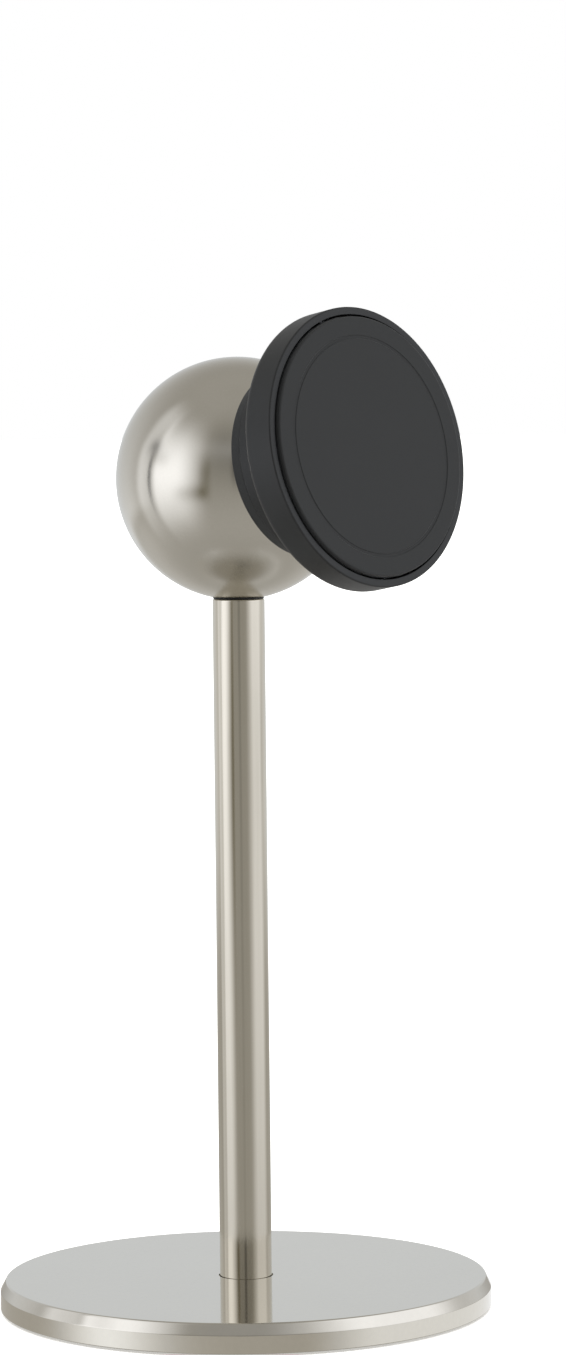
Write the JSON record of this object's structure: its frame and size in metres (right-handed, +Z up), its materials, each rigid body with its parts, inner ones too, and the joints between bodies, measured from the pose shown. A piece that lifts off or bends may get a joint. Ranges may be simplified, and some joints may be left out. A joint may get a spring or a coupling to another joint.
{
  "type": "phone stand",
  "caption": "Desk phone stand: round weighted base, thin post, steel ball and a round magnetic head on a cup that tilts on the ball.",
  "frame": {"origin": "centre of the rubber pad's underside, on the stand's vertical axis", "axes": "+Z up along the post; -Y the way the head faces, 10 degrees up, at rest; +X to the right seen from behind the head"},
  "size_m": [0.102, 0.102, 0.2065],
  "materials": {
    "satin_nickel": "satin brushed warm nickel",
    "pad_rubber": "matte",
    "black_plastic": "fine matte moulding",
    "black_silicone": "soft matte silicone",
    "zinc_steel": "bright zinc plate",
    "magnet_nickel": "nickel plate",
    "nylon": "natural nylon"
  },
  "bodies": {
    "stand": {"base_plate": "satin_nickel", "base_pad": "pad_rubber", "base_screw": "zinc_steel", "post_tube": "satin_nickel", "post_foot_plug": "zinc_steel", "post_top_bushing": "nylon"},
    "ball": {"ball_shell": "satin_nickel", "ball_boss": "zinc_steel", "swivel_stud": "zinc_steel", "friction_washer": "black_plastic", "thrust_washer": "zinc_steel", "spring_washer_1": "zinc_steel", "spring_washer_2": "zinc_steel", "stud_nut": "zinc_steel"},
    "cup": {"cup_shell": "black_plastic", "seat_ring": "black_silicone", "grip_magnet": "magnet_nickel", "grip_yoke": "zinc_steel", "wave_washer": "zinc_steel", "slip_washer": "nylon"},
    "head": {"head_shell": "black_plastic", "pivot_pin": "zinc_steel", "pivot_nut": "zinc_steel", "shield_ring": "zinc_steel", "magnet_01": "magnet_nickel", "magnet_02": "magnet_nickel", "magnet_03": "magnet_nickel", "magnet_04": "magnet_nickel", "magnet_05": "magnet_nickel", "magnet_06": "magnet_nickel", "magnet_07": "magnet_nickel", "magnet_08": "magnet_nickel", "magnet_09": "magnet_nickel", "magnet_10": "magnet_nickel", "magnet_11": "magnet_nickel", "magnet_12": "magnet_nickel", "magnet_13": "magnet_nickel", "magnet_14": "magnet_nickel", "magnet_15": "magnet_nickel", "magnet_16": "magnet_nickel", "magnet_carrier": "black_plastic", "face_plate": "black_plastic", "face_screw_1": "zinc_steel", "face_screw_2": "zinc_steel", "face_screw_3": "zinc_steel", "face_pad": "black_silicone"}
  },
  "joints": [
    {"name": "swivel", "type": "hinge", "parent": "stand", "child": "ball", "pos_m": [0, 0, 0.1473], "axis": [0, 0, 1], "continuous": true},
    {"name": "tilt", "type": "hinge", "parent": "ball", "child": "cup", "pos_m": [0, 0, 0.172], "axis": [-1, 0, 0], "range_deg": [-35, 80]},
    {"name": "roll", "type": "hinge", "parent": "cup", "child": "head", "pos_m": [0, -0.02885, 0.17709], "axis": [0, -0.9848, 0.1736], "continuous": true}
  ]
}
